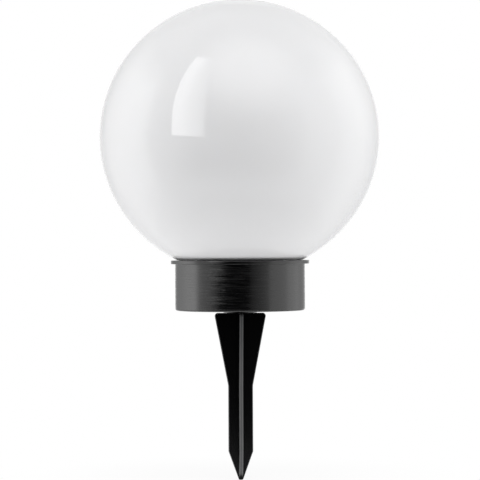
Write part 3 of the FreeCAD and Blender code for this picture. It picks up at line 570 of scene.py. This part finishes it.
PANE_CORNERS = [         # right, away and up from the ball's middle, from the low left corner round
    (-915, -678, 3), (-516, -1023, -43), (-312, -573, 1115), (-591, -336, 1137),
]
FLOOR_RADIUS = 260.0
FLOOR_DROP = 0.2         # below the stake's tip
FLOOR_SEGMENTS = 96
FLOOR_GLOW = (1.7, 1.0)  # what it sends up to the object, from its middle and from its edge
FLOOR_PLAIN = (0.86, 1.0)         # how much of plain white the camera sees, there and there
FLOOR_FADE = (0.35, 0.9)          # between these shares of its radius


def studio_world():
    """The studio as a world: white for the camera, and its panels and dark side for what they light. Its
    angles turn with the photograph's view, which stands still, so the light doesn't follow a camera."""
    world = bpy.data.worlds.new("studio")
    bpy.context.scene.world = world
    world.use_nodes = True
    tree = world.node_tree
    tree.nodes.clear()
    way = add(tree, "ShaderNodeTexCoord").outputs["Generated"]
    turned = add(tree, "ShaderNodeVectorRotate", {"Angle": math.radians(VIEW_TURN)}, {"Vector": way},
                 rotation_type="Z_AXIS")
    axes = add(tree, "ShaderNodeSeparateXYZ", links={0: turned.outputs[0]})
    nearer = add(tree, "ShaderNodeMath", {1: -1.0}, {0: axes.outputs[1]}, operation="MULTIPLY")
    angle = add(tree, "ShaderNodeMath", links={0: axes.outputs[0], 1: nearer.outputs[0]},
                operation="ARCTAN2")
    share = add(tree, "ShaderNodeMapRange", {"From Min": -math.pi, "From Max": math.pi},
                {"Value": angle.outputs[0]})
    ring = add(tree, "ShaderNodeValToRGB", links={0: share.outputs[0]})
    stops = ring.color_ramp.elements
    while len(stops) < len(STUDIO):
        stops.new(0.5)
    for stop, (degrees, level) in zip(stops, STUDIO):
        stop.position = (degrees + 180) / 360
        stop.color = [level / STUDIO_PEAK] * 3 + [1.0]
    sides = add(tree, "ShaderNodeMath", {1: STUDIO_PEAK}, {0: ring.outputs[0]}, operation="MULTIPLY")
    up = add(tree, "ShaderNodeMapRange", {"From Min": CEILING_EDGE[0], "From Max": CEILING_EDGE[1]},
             {"Value": axes.outputs[2]}, interpolation_type="SMOOTHSTEP")
    down = add(tree, "ShaderNodeMapRange", {"From Min": TABLE_EDGE[0], "From Max": TABLE_EDGE[1]},
               {"Value": axes.outputs[2]}, interpolation_type="SMOOTHSTEP")
    above = add(tree, "ShaderNodeMix", {3: CEILING}, {0: up.outputs[0], 2: sides.outputs[0]})
    around = add(tree, "ShaderNodeMix", {3: TABLE}, {0: down.outputs[0], 2: above.outputs[0]})
    aside, height = [math.radians(a) for a in TOP_PANEL_PLACE]
    towards = (math.cos(height) * math.sin(aside), -math.cos(height) * math.cos(aside), math.sin(height))
    near = add(tree, "ShaderNodeVectorMath", {1: towards}, {0: turned.outputs[0]},
               operation="DOT_PRODUCT")
    off = add(tree, "ShaderNodeMath", links={0: near.outputs["Value"]}, operation="ARCCOSINE")
    panel = add(tree, "ShaderNodeMapRange", {
        "From Min": math.radians(TOP_PANEL_SPREAD[1]), "From Max": math.radians(TOP_PANEL_SPREAD[0]),
        "To Max": TOP_PANEL,
    }, {"Value": off.outputs[0]}, interpolation_type="SMOOTHSTEP")
    light = add(tree, "ShaderNodeMath", links={0: around.outputs[0], 1: panel.outputs[0]},
                operation="ADD")
    rays = add(tree, "ShaderNodeLightPath")
    mirrored = add(tree, "ShaderNodeMath", links={
        0: rays.outputs["Is Glossy Ray"], 1: rays.outputs["Is Transmission Ray"]}, operation="MAXIMUM")
    behind = add(tree, "ShaderNodeMapRange", {"From Min": BACKDROP_EDGE[0], "From Max": BACKDROP_EDGE[1]},
                 {"Value": axes.outputs[1]}, interpolation_type="SMOOTHSTEP")
    backdrop = add(tree, "ShaderNodeMath", links={0: mirrored.outputs[0], 1: behind.outputs[0]},
                   operation="MULTIPLY")
    seen = add(tree, "ShaderNodeMath", links={0: rays.outputs["Is Camera Ray"], 1: backdrop.outputs[0]},
               operation="MAXIMUM")
    studio = add(tree, "ShaderNodeBackground", {"Color": linear("#FFFFFF")}, {"Strength": light.outputs[0]})
    white = add(tree, "ShaderNodeBackground", {"Color": linear("#FFFFFF"), "Strength": 1.0})
    both = add(tree, "ShaderNodeMixShader", links={
        0: seen.outputs[0], 1: studio.outputs[0], 2: white.outputs[0]})
    add(tree, "ShaderNodeOutputWorld", links={0: both.outputs[0]})


def seen_from_camera():
    """A turn from the camera's axes, right, away and up, to the object's."""
    return Matrix.Rotation(math.radians(-VIEW_TURN), 3, "Z")


def tall_pane():
    """The tall pane at the front left that the ball mirrors sharply. It is brightest at its low left
    corner, and it only shows in reflections, so the soft light stays the studio's own."""
    bm = bmesh.new()
    pane = bm.faces.new([bm.verts.new([mm(place) for place in corner]) for corner in PANE_CORNERS])
    layer = bm.loops.layers.uv.new("across")
    for loop, place in zip(pane.loops, ((0, 0), (1, 0), (1, 1), (0, 1))):
        loop[layer].uv = place
    mesh = bpy.data.meshes.new("tall pane")
    bm.to_mesh(mesh)
    bm.free()
    material = bpy.data.materials.new("lit cloth")
    material.use_nodes = True
    tree = material.node_tree
    tree.nodes.clear()
    place = add(tree, "ShaderNodeTexCoord").outputs["UV"]
    axes = add(tree, "ShaderNodeSeparateXYZ", links={0: place})
    across = add(tree, "ShaderNodeMapRange", {
        "From Min": PANE_PLAIN_WIDTH, "To Min": 1.0, "To Max": PANE_RIGHT_SHARE,
    }, {"Value": axes.outputs[0]})
    up = add(tree, "ShaderNodeMapRange", {
        "To Min": PANE_LEVEL, "To Max": PANE_LEVEL * PANE_TOP_SHARE,
    }, {"Value": axes.outputs[1]})
    level = add(tree, "ShaderNodeMath", links={0: across.outputs[0], 1: up.outputs[0]},
                operation="MULTIPLY")
    glow = add(tree, "ShaderNodeEmission", {"Color": linear("#FFFFFF")}, {"Strength": level.outputs[0]})
    add(tree, "ShaderNodeOutputMaterial", links={0: glow.outputs[0]})
    mesh.materials.append(material)
    holder = bpy.data.objects.new("tall pane", mesh)
    holder.matrix_world = Matrix.Translation((0, 0, mm(GLOBE_CENTRE))) @ seen_from_camera().to_4x4()
    holder.visible_camera = False
    holder.visible_diffuse = False
    holder.visible_shadow = False
    bpy.context.scene.collection.objects.link(holder)


def pale_floor():
    """A round white board under the stake's tip. The camera sees only a trace of its shading, and none
    towards its edge, where it meets the white of the studio. To the object it is a softly lit table. Its
    glow isn't sampled as a lamp's, because a lamp's light isn't a diffuse ray and would miss it."""
    bm = bmesh.new()
    bmesh.ops.create_circle(bm, cap_ends=True, segments=FLOOR_SEGMENTS, radius=mm(FLOOR_RADIUS))
    bmesh.ops.translate(bm, vec=(0, 0, mm(-STAKE_DEPTH - FLOOR_DROP)), verts=bm.verts)
    mesh = bpy.data.meshes.new("floor")
    bm.to_mesh(mesh)
    bm.free()
    material = bpy.data.materials.new("painted board, matt")
    material.use_nodes = True
    tree = material.node_tree
    tree.nodes.clear()
    rays = add(tree, "ShaderNodeLightPath")
    paint = add(tree, "ShaderNodeBsdfDiffuse", {"Color": linear("#F0F0F0")})
    white = add(tree, "ShaderNodeEmission", {"Color": linear("#FFFFFF"), "Strength": 1.0})
    place = add(tree, "ShaderNodeTexCoord").outputs["Object"]
    away = add(tree, "ShaderNodeVectorMath", links={0: place}, operation="LENGTH")
    plain = add(tree, "ShaderNodeMapRange", {
        "From Min": mm(FLOOR_RADIUS) * FLOOR_FADE[0], "From Max": mm(FLOOR_RADIUS) * FLOOR_FADE[1],
        "To Min": FLOOR_PLAIN[0], "To Max": FLOOR_PLAIN[1],
    }, {"Value": away.outputs["Value"]}, interpolation_type="SMOOTHSTEP")
    share = add(tree, "ShaderNodeMath", links={0: rays.outputs["Is Camera Ray"], 1: plain.outputs[0]},
                operation="MULTIPLY")
    board = add(tree, "ShaderNodeMixShader", links={
        0: share.outputs[0], 1: paint.outputs[0], 2: white.outputs[0]})
    level = add(tree, "ShaderNodeMapRange", {
        "From Max": mm(FLOOR_RADIUS), "To Min": FLOOR_GLOW[0], "To Max": FLOOR_GLOW[1],
    }, {"Value": away.outputs["Value"]})
    glow = add(tree, "ShaderNodeEmission", {"Color": linear("#FFFFFF")}, {"Strength": level.outputs[0]})
    table = add(tree, "ShaderNodeMixShader", links={
        0: rays.outputs["Is Diffuse Ray"], 1: board.outputs[0], 2: glow.outputs[0]})
    add(tree, "ShaderNodeOutputMaterial", links={0: table.outputs[0]})
    material.cycles.emission_sampling = "NONE"
    mesh.materials.append(material)
    floor = bpy.data.objects.new("floor", mesh)
    bpy.context.scene.collection.objects.link(floor)


def camera():
    """A long lens, level and at the height of the globe's foot, as the straight rim of the base shows."""
    turn = seen_from_camera()
    lens = bpy.data.cameras.new("camera")
    lens.angle = math.radians(VIEW_ANGLE)
    lens.clip_end = mm(VIEW_REACH)
    holder = bpy.data.objects.new("camera", lens)
    holder.location = turn @ Vector((mm(VIEW_ASIDE), mm(-VIEW_DISTANCE), mm(VIEW_HEIGHT)))
    level = Matrix.Rotation(math.radians(90), 3, "X")
    tilt = Matrix.Rotation(math.radians(-VIEW_TILT), 3, "Z")
    holder.rotation_euler = (turn @ level @ tilt).to_euler()
    bpy.context.scene.collection.objects.link(holder)
    bpy.context.scene.camera = holder


# ---- the scene ---------------------------------------------------------------------------------
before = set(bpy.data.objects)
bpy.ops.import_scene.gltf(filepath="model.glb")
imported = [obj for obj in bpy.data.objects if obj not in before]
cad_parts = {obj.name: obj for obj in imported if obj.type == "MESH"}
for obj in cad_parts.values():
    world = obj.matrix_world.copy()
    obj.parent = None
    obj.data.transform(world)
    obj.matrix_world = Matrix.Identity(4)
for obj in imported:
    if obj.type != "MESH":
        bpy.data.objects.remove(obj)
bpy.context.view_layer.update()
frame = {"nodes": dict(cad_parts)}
opal_globe()
lamp_frames(dress(frame))
studio_world()
tall_pane()
pale_floor()
camera()
bpy.context.scene.view_settings.view_transform = "Standard"
bpy.context.view_layer.update()
